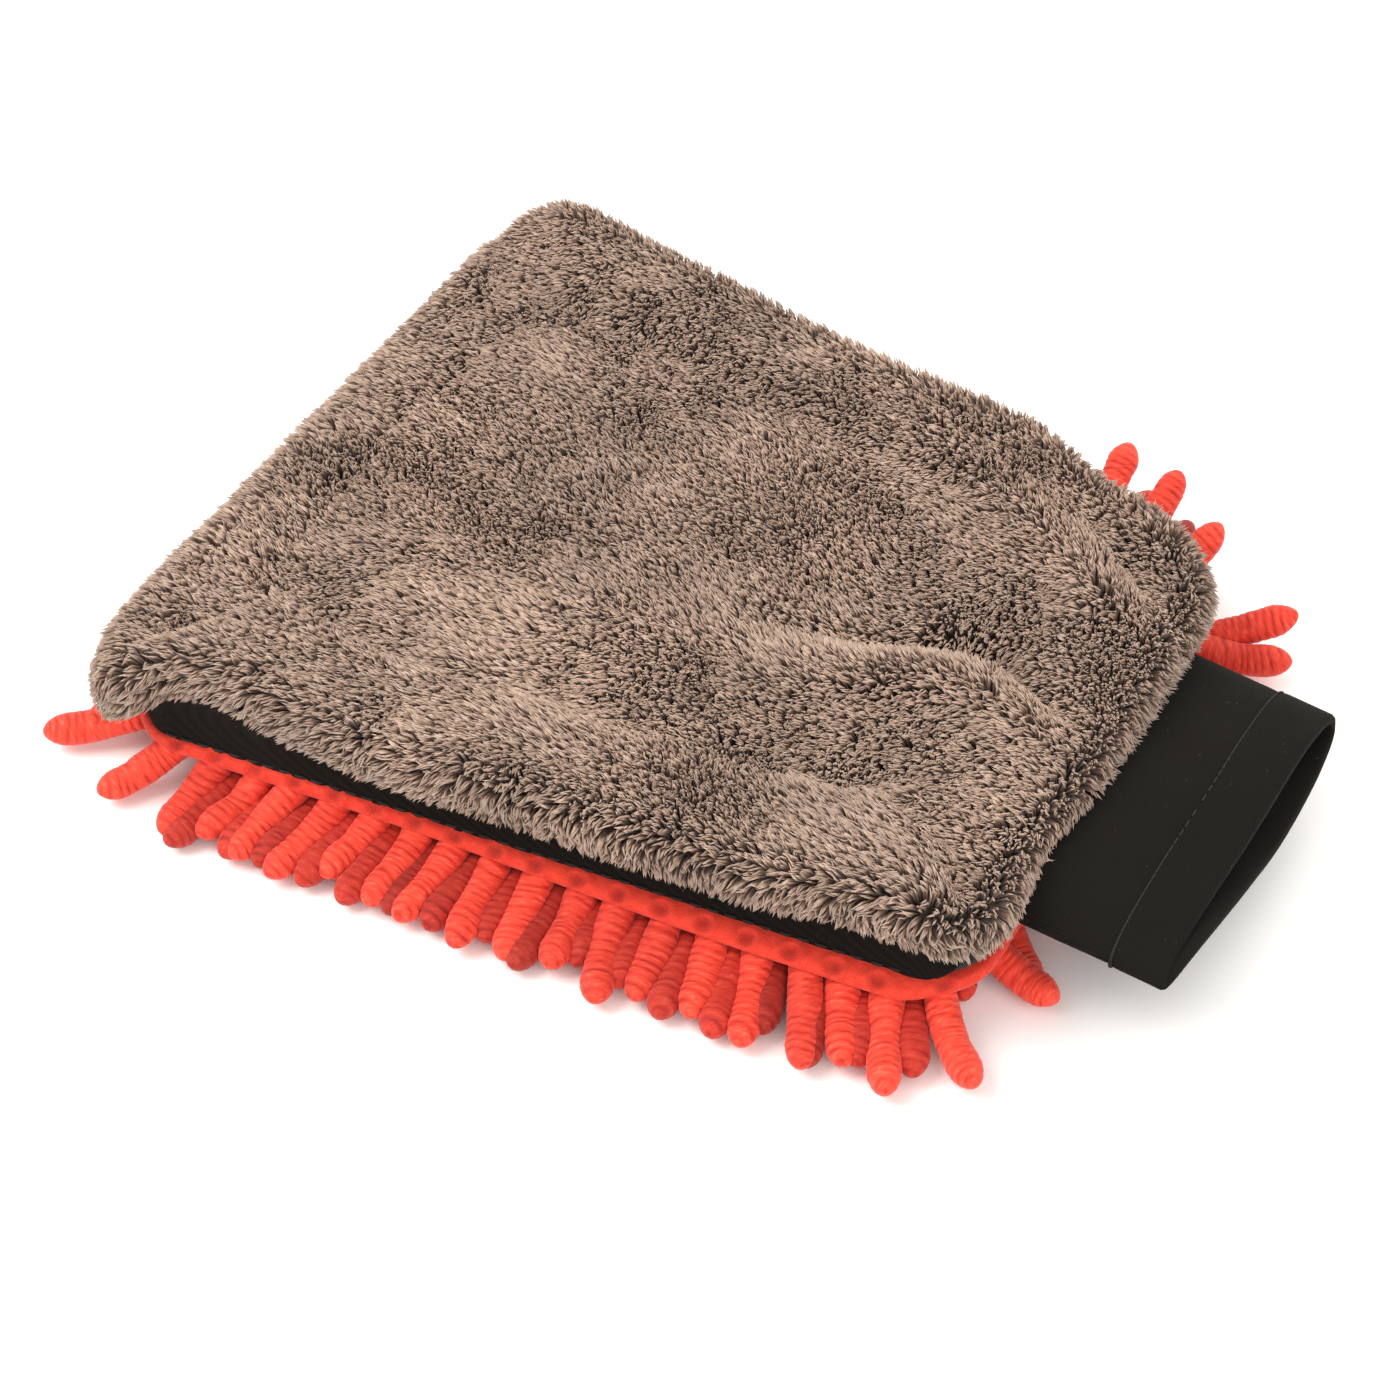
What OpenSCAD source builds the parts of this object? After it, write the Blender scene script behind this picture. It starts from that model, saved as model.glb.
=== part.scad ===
// Two-sided wash mitt lying on its noodle side: a plush panel on top, a chenille noodle panel
// below, a gusset along each long side, and an elastic knit cuff that folds at the wrist seam.
// X runs from the fingertips to the cuff, Y across the hand, Z up. The origin is under the
// middle of the mitt, on the surface it lies on.

/* [Mitt body] */
// Length from the fingertip seam to the wrist seam
body_len = 205; // [190:1:230]
// Half width of the seam outline at the fingertips
tip_half_w = 89; // [80:1:100]
// Half width that the straight sides would reach at the wrist seam
wrist_half_w = 68; // [66:1:76]
// Corner radius of the outline at the fingertips
tip_r = 14; // [10:1:20]
// Corner radius of the near shoulder, which lies pulled square
near_shoulder_r = 15; // [13:1:24]
// Corner radius of the far shoulder
far_shoulder_r = 28; // [20:1:30]

/* [Layers] */
// Height of the hand pocket between the two linings
pocket_h = 10.4; // [9:0.2:16]
// Thickness of each lining
lining_t = 0.8; // [0.6:0.1:1.2]
// Thickness of the knit base that carries the noodles
backing_t = 2; // [1.5:0.1:3]
// How far the knit base stands out past the seam
backing_over = 2; // [1.5:0.5:3]
// Height of the plush panel: base cloth and pile
plush_t = 11.5; // [8:0.5:14]
// How far the plush panel stands out past the seam
plush_over = 5; // [4:0.5:7]
// Thickness of the gusset cloth
gusset_t = 1.2; // [1:0.1:1.6]

/* [Noodles] */
// Diameter of one chenille noodle
noodle_d = 6; // [5:0.5:6]
// Height of the noodle layer under the mitt
noodle_h = 12; // [12:0.5:16]
// Distance between the rows of noodles
row_pitch = 10.2; // [10:0.1:10.3]
// Number of rows
row_count = 20; // [18:1:20]
// Distance between noodles in a row, about
noodle_pitch = 12; // [11.5:0.5:14]
// Sideways reach of a noodle that is pressed under the mitt
inner_reach = 7; // [5:0.5:7]
// Sideways reach of a noodle at the edge of the mitt
edge_reach = 22; // [16:1:24]

/* [Cuff] */
// Length of the cuff
cuff_len = 38; // [35:1:70]
// Half width of the cuff as it lies
cuff_half_w = 47; // [44:1:50]
// Half height of the cuff as it lies
cuff_half_h = 7.5; // [7:0.5:9]
// Thickness of the knit
cuff_t = 1.1; // [0.9:0.1:1.3]
// Width of the hem that holds the elastic
hem_w = 12.5; // [10:0.5:16]
// Thickness of the elastic band
elastic_t = 1.2; // [1:0.1:1.4]
// Sideways shift of the cuff as it lies
cuff_shift = -5; // [-6:1:6]
// How far the cuff can droop below rest, in degrees
fold_down = 8; // [4:1:10]

/* [Stitches] */
// Thickness of the seam thread
thread_d = 0.8; // [0.5:0.1:0.8]
// Length of one stitch
stitch_len = 3.2; // [2:0.2:4]
// Distance from one stitch to the next
stitch_pitch = 5; // [4.5:0.5:8]

/* [Hidden] */
function row_name(i) = str("noodle_row_", i < 10 ? "0" : "", i);

// Heights of the layers, from the ground up
z_backing = noodle_h;
z_lining = z_backing + backing_t;
z_pocket = z_lining + lining_t;
z_upper_lining = z_pocket + pocket_h;
z_plush = z_upper_lining + lining_t;
gusset_h = z_plush - z_lining;

// The panels end just before the wrist stitches, and the cuff starts just after them
wrist_gap = 1.4;
x_panels_end = body_len + 1;
x_cuff = x_panels_end + wrist_gap;
x_fold = x_cuff - 0.2;
x_mouth = x_cuff + cuff_len;
z_cuff = z_plush - cuff_half_h + 2.5;
z_fold = z_cuff + cuff_half_h;

// The whole mitt is moved so that its box is centred on the origin
noodle_r = noodle_d / 2;
first_row = 4;
edge_inset = 3;
x_tip = first_row - edge_reach - noodle_r;
x_centre = (x_tip + x_mouth) / 2;

plush_colour = [0.57, 0.47, 0.42];
noodle_colour = [0.90, 0.31, 0.24];
black_knit = [0.17, 0.15, 0.13];
lining_colour = [0.30, 0.29, 0.28];
thread_colour = [0.10, 0.09, 0.09];

// The near side is side -1 and the far side is side 1. Where a straight side ends, and its
// distance from the middle there
function shoulder_r(side) = side < 0 ? near_shoulder_r : far_shoulder_r;
function shoulder_x(side) = body_len - shoulder_r(side);
function line_w(x) = tip_half_w + (wrist_half_w - tip_half_w) * (x - tip_r) / (body_len - tip_r);
function shoulder_y(side) = line_w(shoulder_x(side)) - shoulder_r(side);

// Half width of the seam outline at a distance x from the fingertip seam
function half_w(x, side) =
    x < tip_r ? tip_half_w - tip_r + sqrt(tip_r * tip_r - pow(tip_r - x, 2)) :
    x < shoulder_x(side) ? line_w(x) :
    shoulder_y(side) + sqrt(max(0, pow(shoulder_r(side), 2) - pow(x - shoulder_x(side), 2)));

// Points on an arc round [cx, cy]
function arc(cx, cy, r, from, to) =
    [for (k = [0:8]) let (a = from + (to - from) * k / 8) [cx + r * cos(a), cy + r * sin(a)]];

// The seam outline, grown by g on every side
module outline(g = 0) {
    tip_y = tip_half_w - tip_r;
    polygon(concat(
        arc(shoulder_x(1), shoulder_y(1), far_shoulder_r + g, 0, 90),
        arc(tip_r, tip_y, tip_r + g, 90, 180),
        arc(tip_r, -tip_y, tip_r + g, 180, 270),
        arc(shoulder_x(-1), -shoulder_y(-1), near_shoulder_r + g, 270, 360)));
}

// A flat sheet in the outline, cut square at the wrist
module sheet(z, t, g) {
    translate([0, 0, z]) linear_extrude(t) intersection() {
        outline(g);
        translate([-body_len, -body_len]) square([body_len + x_panels_end, 2 * body_len]);
    }
}

// Moves a child from the fingertip frame to the frame of the whole mitt
module place() {
    translate([-x_centre, 0, 0]) children();
}

// Plush top panel, crowned, with its fingertip edge turned down to the seam
module plush_panel() {
    side_h = 0.6 * plush_t;
    crown = [[0.87, -6], [1, -30]];
    skin_t = 0.1;
    lip_t = plush_over + 1.5;
    color(plush_colour) place() {
        hull() {
            sheet(z_plush, side_h, plush_over);
            for (step = crown)
                sheet(z_plush + step[0] * (plush_t - skin_t), skin_t, plush_over + step[1]);
        }
        translate([0, 0, z_lining]) linear_extrude(gusset_h) intersection() {
            difference() {
                outline(plush_over);
                outline(plush_over - lip_t);
            }
            translate([-plush_over, -body_len]) square([plush_over + 4, 2 * body_len]);
        }
    }
}

// Inner lining under the plush panel
module plush_lining() {
    color(lining_colour) place() sheet(z_upper_lining, lining_t, -gusset_t - 0.4);
}

// Inner lining over the chenille panel
module chenille_lining() {
    color(lining_colour) place() sheet(z_lining, lining_t, -gusset_t - 0.4);
}

// Knit base sheet that the noodles are tufted into
module chenille_backing() {
    color(noodle_colour) place() sheet(z_backing, backing_t, backing_over);
}

// Boat-shaped side gusset: a strip on the seam outline with round ends, seen from the side
module gusset(side) {
    x_start = 6;
    x_end = body_len - 6;
    end_r = gusset_h / 2;
    color(black_knit) place() intersection() {
        translate([0, 0, z_lining]) linear_extrude(gusset_h) difference() {
            outline(0);
            outline(-gusset_t);
        }
        translate([0, side > 0 ? body_len : 0, z_lining + end_r]) rotate([90, 0, 0])
            linear_extrude(body_len) union() {
                translate([x_start + end_r, -end_r])
                    square([x_end - x_start - 2 * end_r, gusset_h]);
                for (x = [x_start + end_r, x_end - end_r]) translate([x, 0]) circle(end_r, $fn = 32);
            }
    }
}

module gusset_near() { gusset(-1); }
module gusset_far() { gusset(1); }

// Cross-section of the cuff: a flattened tube, made smaller by inset on every side
function cuff_y(a, inset) =
    cuff_shift + (cuff_half_w - inset) * sign(cos(a)) * pow(abs(cos(a)), 0.75);
function cuff_z(a, inset) =
    z_cuff + (cuff_half_h - inset) * sign(sin(a)) * pow(abs(sin(a)), 0.8);

module cuff_tube(x, length, inset) {
    translate([x, 0, 0]) rotate([90, 0, 90]) linear_extrude(length)
        polygon([for (a = [0:7.5:352.5]) [cuff_y(a, inset), cuff_z(a, inset)]]);
}

// Knit cuff, with the hem turned in at the mouth round the elastic band
module cuff() {
    hem_x = x_mouth - hem_w;
    hem_t = 2 * cuff_t + elastic_t;
    droop_room = 1;
    color(black_knit) place() difference() {
        cuff_tube(x_cuff, cuff_len, 0);
        cuff_tube(x_cuff - 1, hem_w + cuff_len, hem_t);
        cuff_tube(x_cuff - 1, cuff_len - hem_w + 1, cuff_t);
        difference() {
            cuff_tube(hem_x - 0.1, hem_w - cuff_t + 0.1, cuff_t);
            cuff_tube(hem_x - 1, hem_w + 2, cuff_t + elastic_t);
        }
        // The lower layer starts a little further out, so that the cuff can droop
        translate([x_fold, -body_len, z_fold]) rotate([0, -fold_down - droop_room, 0])
            translate([-body_len, 0, -body_len]) cube([body_len, 2 * body_len, 2 * body_len]);
    }
}

// Elastic band inside the hem
module cuff_elastic() {
    slack = 0.05;
    band_w = hem_w - cuff_t - 1;
    color(lining_colour) place() difference() {
        cuff_tube(x_mouth - cuff_t - slack - band_w, band_w, cuff_t + slack);
        cuff_tube(x_mouth - hem_w - 1, hem_w + 2, cuff_t + elastic_t - slack);
    }
}

// One stitch of thread lying at [x, y, z], turned by angle about Z
module stitch(x, y, z, angle) {
    translate([x, y, z]) rotate([0, 0, angle]) rotate([0, 90, 0])
        cylinder(h = stitch_len, d = thread_d, center = true, $fn = 16);
}

// Stitches along both straight sides at height z
module side_stitches(z) {
    off = thread_d / 2 + 0.1;
    slope = atan(line_w(1) - line_w(0));
    for (side = [-1, 1], x = [tip_r + 2 : stitch_pitch : shoulder_x(side) - 2])
        stitch(x, side * (line_w(x) + off / cos(slope)), z, side * slope);
}

// Thread that joins the plush panel to the knit base at the fingertips
module fingertip_stitching() {
    y_end = tip_half_w - tip_r;
    color(thread_colour) place()
        for (y = [-y_end : stitch_pitch : y_end])
            stitch(-backing_over - thread_d / 2 - 0.05, y, z_lining - thread_d / 2 - 0.05, 90);
}

// Thread that joins the gussets to the plush panel
module plush_edge_stitching() {
    color(thread_colour) place() side_stitches(z_plush - thread_d / 2 - 0.1);
}

// Thread that joins the gussets to the knit base
module backing_edge_stitching() {
    color(thread_colour) place() side_stitches(z_lining + thread_d / 2 + 0.1);
}

// Thread between the panels and the cuff, along the upper and the lower layer
module wrist_stitching() {
    y_end = cuff_half_w - 5;
    color(thread_colour) place()
        for (y = [cuff_shift - y_end : stitch_pitch : cuff_shift + y_end], z = [z_lining, z_plush])
            stitch(x_panels_end + thread_d / 2 + 0.1, y, z, 90);
}

// Thread that closes the hem, on the outside of the cuff
module cuff_hem_stitching() {
    y_end = cuff_half_w - 17;
    clear = 0.25;
    color(thread_colour) place()
        for (y = [-y_end : stitch_pitch : y_end], side = [-1, 1]) {
            // Height of the cuff's surface at this place, from its cross-section
            z_surface = cuff_half_h * pow(sin(acos(pow(abs(y) / cuff_half_w, 1 / 0.75))), 0.8);
            z = z_cuff + side * (z_surface + thread_d / 2 + clear);
            stitch(x_mouth - hem_w + 2, cuff_shift + y, z, 90);
        }
}

// One noodle: a round-ended rod from its root to its tip
module noodle(root, tip) {
    v = tip - root;
    reach = norm([v[0], v[1]]);
    end = noodle_r * 0.7;
    translate(root) rotate([0, 90 + atan2(-v[2], reach), atan2(v[1], v[0])])
        rotate_extrude($fn = 16) polygon([
            [0, -noodle_r], [end, -end], [noodle_r, 0],
            [noodle_r, norm(v)], [end, norm(v) + end], [0, norm(v) + noodle_r]]);
}

// One row across the mitt: the end noodles reach outward, the others are pressed underneath
module noodle_row(i) {
    fan_x = 85;
    fan_turn = 0.5;
    x = first_row + (i - 1) * row_pitch;
    y_near = edge_inset - half_w(x, -1);
    y_far = half_w(x, 1) - edge_inset;
    count = 2 * round((y_far - y_near) / 2 / noodle_pitch) + i % 2;
    color(noodle_colour) place()
        for (k = [0:count - 1]) {
            y = y_near + (y_far - y_near) * k / (count - 1);
            fan = [(x - fan_x) * fan_turn, y];
            from_end = min(k, count - 1 - k);
            at_edge = from_end == 0 || i == 1 || (i == row_count && from_end == 1);
            reach = at_edge ? edge_reach : inner_reach;
            root = [x, y, z_backing - noodle_r];
            noodle(root, root + concat(fan / norm(fan) * reach, noodle_r - root[2]));
        }
}

plush_panel();
plush_lining();
chenille_backing();
chenille_lining();
gusset_near();
gusset_far();
cuff();
cuff_elastic();
fingertip_stitching();
plush_edge_stitching();
backing_edge_stitching();
wrist_stitching();
cuff_hem_stitching();
for (i = [1:row_count])
    noodle_row(i);
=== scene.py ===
import math

import bmesh
import bpy
import numpy as np
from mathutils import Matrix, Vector
from mathutils.kdtree import KDTree


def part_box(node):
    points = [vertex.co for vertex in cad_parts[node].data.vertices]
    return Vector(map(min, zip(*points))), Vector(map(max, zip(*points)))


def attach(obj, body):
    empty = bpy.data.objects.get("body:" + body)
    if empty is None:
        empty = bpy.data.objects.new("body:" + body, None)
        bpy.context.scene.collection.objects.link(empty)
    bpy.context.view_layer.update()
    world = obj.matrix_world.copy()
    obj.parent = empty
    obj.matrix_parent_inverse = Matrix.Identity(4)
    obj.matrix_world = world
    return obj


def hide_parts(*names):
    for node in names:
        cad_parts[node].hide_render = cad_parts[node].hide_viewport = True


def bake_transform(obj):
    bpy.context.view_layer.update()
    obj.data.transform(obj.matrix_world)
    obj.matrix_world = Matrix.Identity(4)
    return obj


# ---- frame and driving sizes
# Shapes are worked out in "mitt millimetres": x from the fingertip seam to the cuff, y across the
# hand, z up. to_row() turns them into the row frame's metres.

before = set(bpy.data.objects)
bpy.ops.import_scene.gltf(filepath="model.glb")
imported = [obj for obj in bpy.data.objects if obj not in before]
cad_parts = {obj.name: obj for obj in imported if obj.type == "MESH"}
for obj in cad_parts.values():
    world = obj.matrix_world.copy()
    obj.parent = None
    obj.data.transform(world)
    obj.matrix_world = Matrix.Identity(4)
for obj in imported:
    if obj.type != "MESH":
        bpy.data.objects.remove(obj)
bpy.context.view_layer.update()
MM = 0.001
MITT, CUFF = "mitt", "cuff"


def mm_box(node):
    """Lowest and highest corner of a CAD node, in millimetres of the row frame."""
    low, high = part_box(node)
    return np.array(low) / MM, np.array(high) / MM


BACK_LOW, BACK_HIGH = mm_box("chenille_backing")
PLUSH_HIGH = mm_box("plush_panel")[1]
GUSSET_LOW, GUSSET_HIGH = mm_box("gusset_far")
CUFF_LOW, CUFF_HIGH = mm_box("cuff")

# How far the backing and the plush panel reach outside the seam
BACKING_OVER = 2.0
PLUSH_OVER = 1.0
# Lengths, half widths and heights of the body and the cuff
ORIGIN_X = BACK_LOW[0] + BACKING_OVER
TIP_W = BACK_HIGH[1] - BACKING_OVER
BODY_L = PLUSH_HIGH[0] - ORIGIN_X - PLUSH_OVER
WRIST_W = TIP_W * 0.764
TIP_R = 14.0
SHOULDER_R = {-1: 15.0, 1: 28.0}
Z_BACK = BACK_LOW[2]
Z_SEAM_LOW = GUSSET_LOW[2]
Z_SEAM_TOP = GUSSET_HIGH[2]
Z_TOP = Z_SEAM_TOP + 7.4
SPINE = (62, 148)
X_CUFF = CUFF_LOW[0] - ORIGIN_X
X_MOUTH = CUFF_HIGH[0] - ORIGIN_X
CUFF_Y = (CUFF_LOW[1] + CUFF_HIGH[1]) / 2
CUFF_W = (CUFF_HIGH[1] - CUFF_LOW[1]) / 2
CUFF_Z = (CUFF_LOW[2] + CUFF_HIGH[2]) / 2
CUFF_H = (CUFF_HIGH[2] - CUFF_LOW[2]) / 2


def to_row(points):
    """Mitt millimetres to row metres."""
    return (np.asarray(points, float) + [ORIGIN_X, 0, 0]) * MM


def smooth(a, b, x):
    """0 below a, 1 above b, smooth between."""
    t = np.clip((np.asarray(x, float) - a) / (b - a), 0, 1)
    return t * t * (3 - 2 * t)


def mix(a, b, t):
    return a + (b - a) * t


def line_w(x):
    """Half width of the straight sides."""
    return TIP_W + (WRIST_W - TIP_W) * (x - TIP_R) / (BODY_L - TIP_R)


def spine_of(pts):
    """The point of the middle line on which each outline point's way inward ends."""
    return np.column_stack([np.clip(pts[:, 0], *SPINE), np.zeros(len(pts))])


def angles(count):
    """Even angles of one full turn."""
    return 2 * math.pi * np.arange(count) / count


# ---- noise, the same on every run

def noise2(x, y, scale, seed):
    """Smooth value noise of a plane, from -1 to 1."""
    rng = np.random.default_rng(seed)
    table = rng.uniform(-1, 1, (64, 64))
    gx, gy = np.asarray(x, float) / scale + 31.7, np.asarray(y, float) / scale + 17.3
    ix, iy = np.floor(gx).astype(int), np.floor(gy).astype(int)
    fx, fy = gx - ix, gy - iy
    fx, fy = fx * fx * (3 - 2 * fx), fy * fy * (3 - 2 * fy)

    def at(a, b):
        return table[(ix + a) % 64, (iy + b) % 64]

    low = mix(at(0, 0), at(1, 0), fx)
    high = mix(at(0, 1), at(1, 1), fx)
    return mix(low, high, fy)


def path_distance(x, y, path):
    """Distance from points to a polyline."""
    best = np.full(np.shape(x), 1e9)
    for (ax, ay), (bx, by) in zip(path[:-1], path[1:]):
        ux, uy = bx - ax, by - ay
        t = np.clip(((x - ax) * ux + (y - ay) * uy) / (ux * ux + uy * uy), 0, 1)
        best = np.minimum(best, np.hypot(x - ax - t * ux, y - ay - t * uy))
    return best


# ---- seam outline

def outline(count):
    """Points, outward normals and arc length of the seam outline, evenly spaced, from the middle
    of the fingertip edge and round by the near side."""
    corners = [
        (TIP_R, -(TIP_W - TIP_R), TIP_R, 180, 270),
        (BODY_L - SHOULDER_R[-1], -(line_w(BODY_L - SHOULDER_R[-1]) - SHOULDER_R[-1]),
         SHOULDER_R[-1], 270, 360),
        (BODY_L - SHOULDER_R[1], line_w(BODY_L - SHOULDER_R[1]) - SHOULDER_R[1],
         SHOULDER_R[1], 0, 90),
        (TIP_R, TIP_W - TIP_R, TIP_R, 90, 180),
    ]
    raw = [(0.0, 0.0)]
    for cx, cy, r, start, stop in corners:
        for a in np.radians(np.linspace(start, stop, 24)):
            raw.append((cx + r * math.cos(a), cy + r * math.sin(a)))
    raw.append((0.0, 0.0))
    raw = np.array(raw)
    step = np.hypot(*np.diff(raw, axis=0).T)
    run = np.concatenate([[0], np.cumsum(step)])
    s = np.linspace(0, run[-1], count, endpoint=False)
    pts = np.stack([np.interp(s, run, raw[:, k]) for k in (0, 1)], 1)
    ahead = np.roll(pts, -2, 0) - np.roll(pts, 2, 0)
    normal = np.stack([ahead[:, 1], -ahead[:, 0]], 1)
    normal /= np.linalg.norm(normal, axis=1)[:, None]
    for _ in range(4):
        normal = (np.roll(normal, 1, 0) + 2 * normal + np.roll(normal, -1, 0)) / 4
        normal /= np.linalg.norm(normal, axis=1)[:, None]
    return pts, normal, s


# ---- meshes from arrays

def new_object(mesh):
    """A scene object of a mesh, with the mesh's name."""
    piece = bpy.data.objects.new(mesh.name, mesh)
    bpy.context.scene.collection.objects.link(piece)
    return piece


def mesh_from(name, points, faces, shade=True):
    """A mesh from row-frame points and faces."""
    mesh = bpy.data.meshes.new(name)
    mesh.from_pydata([tuple(p) for p in points], [], [tuple(f) for f in faces])
    mesh.update()
    if shade:
        mesh.shade_smooth()
    return mesh


def face_outward(mesh, weld=0.0, upward=False):
    """Turn a mesh's faces outward, or an open sheet's upward, after welding points that are
    closer than weld."""
    bm = bmesh.new()
    bm.from_mesh(mesh)
    if weld:
        bmesh.ops.remove_doubles(bm, verts=bm.verts, dist=weld)
    bmesh.ops.recalc_face_normals(bm, faces=bm.faces)
    if upward and sum(f.normal.z * f.calc_area() for f in bm.faces) < 0:
        bmesh.ops.reverse_faces(bm, faces=bm.faces)
    bm.to_mesh(mesh)
    bm.free()
    mesh.shade_smooth()
    return mesh


def grid_faces(rows, columns, wrap=False):
    """Quads of a grid whose points run along the columns first."""
    r, c = np.meshgrid(np.arange(rows - 1), np.arange(columns if wrap else columns - 1),
                       indexing="ij")
    a = r * columns + c
    b = r * columns + (c + 1) % columns
    return np.stack([a, b, b + columns, a + columns], -1).reshape(-1, 4)


def ring_mesh(name, rings, around):
    """A mesh through rings of points, with the last ring joined to the first."""
    faces = list(map(tuple, grid_faces(len(rings), around, wrap=True)))
    last = (len(rings) - 1) * around
    faces += [(last + k, last + (k + 1) % around, (k + 1) % around, k) for k in range(around)]
    return mesh_from(name, to_row(np.concatenate(rings)), faces)


def strand_mesh(name, points, faces_one, uv_one, tones):
    """One mesh of many equal strands: points (strands, n, 3), one strand's faces and the UV of
    its points, and a colour of every point. Each strand has its own cell of the UV map."""
    strands, n, _ = points.shape
    mesh = bpy.data.meshes.new(name)
    sizes = np.array([len(f) for f in faces_one])
    flat = np.concatenate([np.array(f) for f in faces_one])
    loops = (np.arange(strands)[:, None] * n + flat[None]).ravel()
    starts = np.concatenate([[0], np.cumsum(np.tile(sizes, strands))[:-1]])
    mesh.vertices.add(strands * n)
    mesh.vertices.foreach_set("co", to_row(points.reshape(-1, 3)).astype(np.float32).ravel())
    mesh.loops.add(len(loops))
    mesh.loops.foreach_set("vertex_index", loops.astype(np.int32))
    mesh.polygons.add(len(starts))
    mesh.polygons.foreach_set("loop_start", starts.astype(np.int32))
    cells = math.ceil(math.sqrt(strands))
    corner = np.stack([np.arange(strands) % cells, np.arange(strands) // cells], 1)
    uv = (corner[:, None] + 0.12 + 0.76 * np.array(uv_one)[None]) / cells
    layer = mesh.uv_layers.new(name="OFBake")
    layer.data.foreach_set("uv", uv.reshape(-1, 2)[loops].astype(np.float32).ravel())
    colour = mesh.color_attributes.new("Tone", "FLOAT_COLOR", "POINT")
    rgba = np.concatenate([tones.reshape(-1, 3), np.ones((strands * n, 1))], 1)
    colour.data.foreach_set("color", rgba.astype(np.float32).ravel())
    mesh.update(calc_edges=True)
    mesh.validate()
    mesh.shade_smooth()
    return mesh


# ---- plush panel: the base cloth

# Folds that the gathered wrist throws into the cloth: route, half width and height
FOLDS = [
    ([(112, -13), (130, -8), (148, -3), (165, 6), (178, 7), (188, 1), (197, -2)], 5.0, -4.2),
    ([(132, -23), (147, -14), (161, -7), (181, -6), (196, -12)], 7.0, 3.4),
    ([(160, 76), (172, 65), (181, 57), (194, 46), (204, 40)], 6.0, -6.0),
    ([(148, 62), (160, 53), (171, 45), (187, 37), (202, 27)], 7.0, 3.0),
    ([(183, 72), (196, 58), (206, 45)], 5.0, 2.0),
]
# Soft swells and hollows: centre, radius and height
SWELLS = [
    (114, 27, 15, 1.6), (96, 72, 13, 1.2), (41, -28, 15, 1.2), (20, 10, 16, 0.8),
    (65, 28, 14, -1.2), (20, 66, 14, -1.2), (36, -62, 27, 2.6), (105, -66, 16, -0.4),
    (158, -40, 18, -1.8), (182, -58, 14, 1.5), (150, 20, 14, -1.0), (75, -10, 16, -0.8),
]


def top_height(x, y):
    """Height of the plush panel's base cloth away from its edge."""
    z = np.full(np.shape(x), Z_TOP)
    for route, width, height in FOLDS:
        d = path_distance(x, y, route)
        z = z + height * np.exp(-(d / width) ** 2) * smooth(105, 165, x)
    for cx, cy, radius, height in SWELLS:
        z = z + height * np.exp(-((x - cx) ** 2 + (y - cy) ** 2) / radius ** 2)
    gather = np.sin(y / 2.3 + 1.3 * np.sin(y / 9.0)) * smooth(178, 203, x)
    return z + 0.9 * gather + 0.5 * noise2(x, y, 17, 3) + 0.25 * noise2(x, y, 8, 4)


def edge_kind(pts):
    """How much each outline point belongs to the fingertip edge and to the wrist."""
    tip = 1 - smooth(1, 15, pts[:, 0])
    wrist = smooth(BODY_L - 12, BODY_L - 1, pts[:, 0])
    return tip, wrist


def rim_lift(pts):
    """How far the sewn rim of the plush stands above the gusset's top, along the long sides."""
    x = pts[:, 0]
    near = 5.0 + 2.2 * np.exp(-((x - 24) / 22) ** 2) + 2.6 * smooth(150, 188, x)
    far = 4.4 + 3.0 * (1 - smooth(10, 85, x)) + 0.6 * smooth(120, 190, x)
    return np.where(pts[:, 1] < 0, near, far)


def rim_reach(pts, tip, wrist):
    """How far outside the seam the middle of the rolled rim lies."""
    x, y = pts[:, 0], pts[:, 1]
    near = -2.4 - 5.6 * np.exp(-((x - 27) / 20) ** 2)
    far = 3.0 + 2.6 * (1 - smooth(20, 110, x)) - 9.5 * smooth(146, 180, x)
    side = mix(near, far, smooth(-20, 20, y))
    end = -2.5 - 2.5 * np.exp(-((y + 38) / 16) ** 2)
    corner = 4 * tip * (1 - tip) * 4.9
    return mix(mix(side, -2.2, tip), end, wrist) + corner


def plush_rings(count, rim_steps, inner_steps):
    """Rings of points from the seam, round the rim and in to the middle of the panel."""
    pts, normal, _ = outline(count)
    tip, wrist = edge_kind(pts)
    far = smooth(-20, 20, pts[:, 1])
    side_z = Z_SEAM_TOP + 0.6 + rim_lift(pts)
    centre_g = rim_reach(pts, tip, wrist)
    centre_z = mix(mix(side_z, Z_SEAM_LOW + 11.5, tip), Z_SEAM_TOP + 3.6, wrist)
    wide = mix(mix(mix(4.2, 5.0, far), 7.5, tip), 4.0, wrist)
    high = mix(mix(3.2, 8.6, tip), 3.2, wrist)
    start = np.radians(mix(mix(mix(-48, -72, far), -62, tip), -50, wrist))
    rings = []
    for j in range(rim_steps):
        a = start + (math.pi / 2 - start) * j / (rim_steps - 1)
        g = centre_g + wide * np.cos(a)
        z = centre_z + high * np.sin(a)
        flat = pts + normal * g[:, None]
        rings.append(np.column_stack([flat, z + noise2(flat[:, 0], flat[:, 1], 11, 9) * 0.5]))
    rim = rings[-1]
    spine = spine_of(pts)
    reach = np.linalg.norm(rim[:, :2] - spine, axis=1)
    for j in range(1, inner_steps + 1):
        q = 1 - j / inner_steps
        flat = spine + (rim[:, :2] - spine) * q
        depth = reach * (1 - q)
        z = mix(rim[:, 2], top_height(flat[:, 0], flat[:, 1]), smooth(0, 30, depth + 2))
        rings.append(np.column_stack([flat, z]))
    return rings


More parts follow.
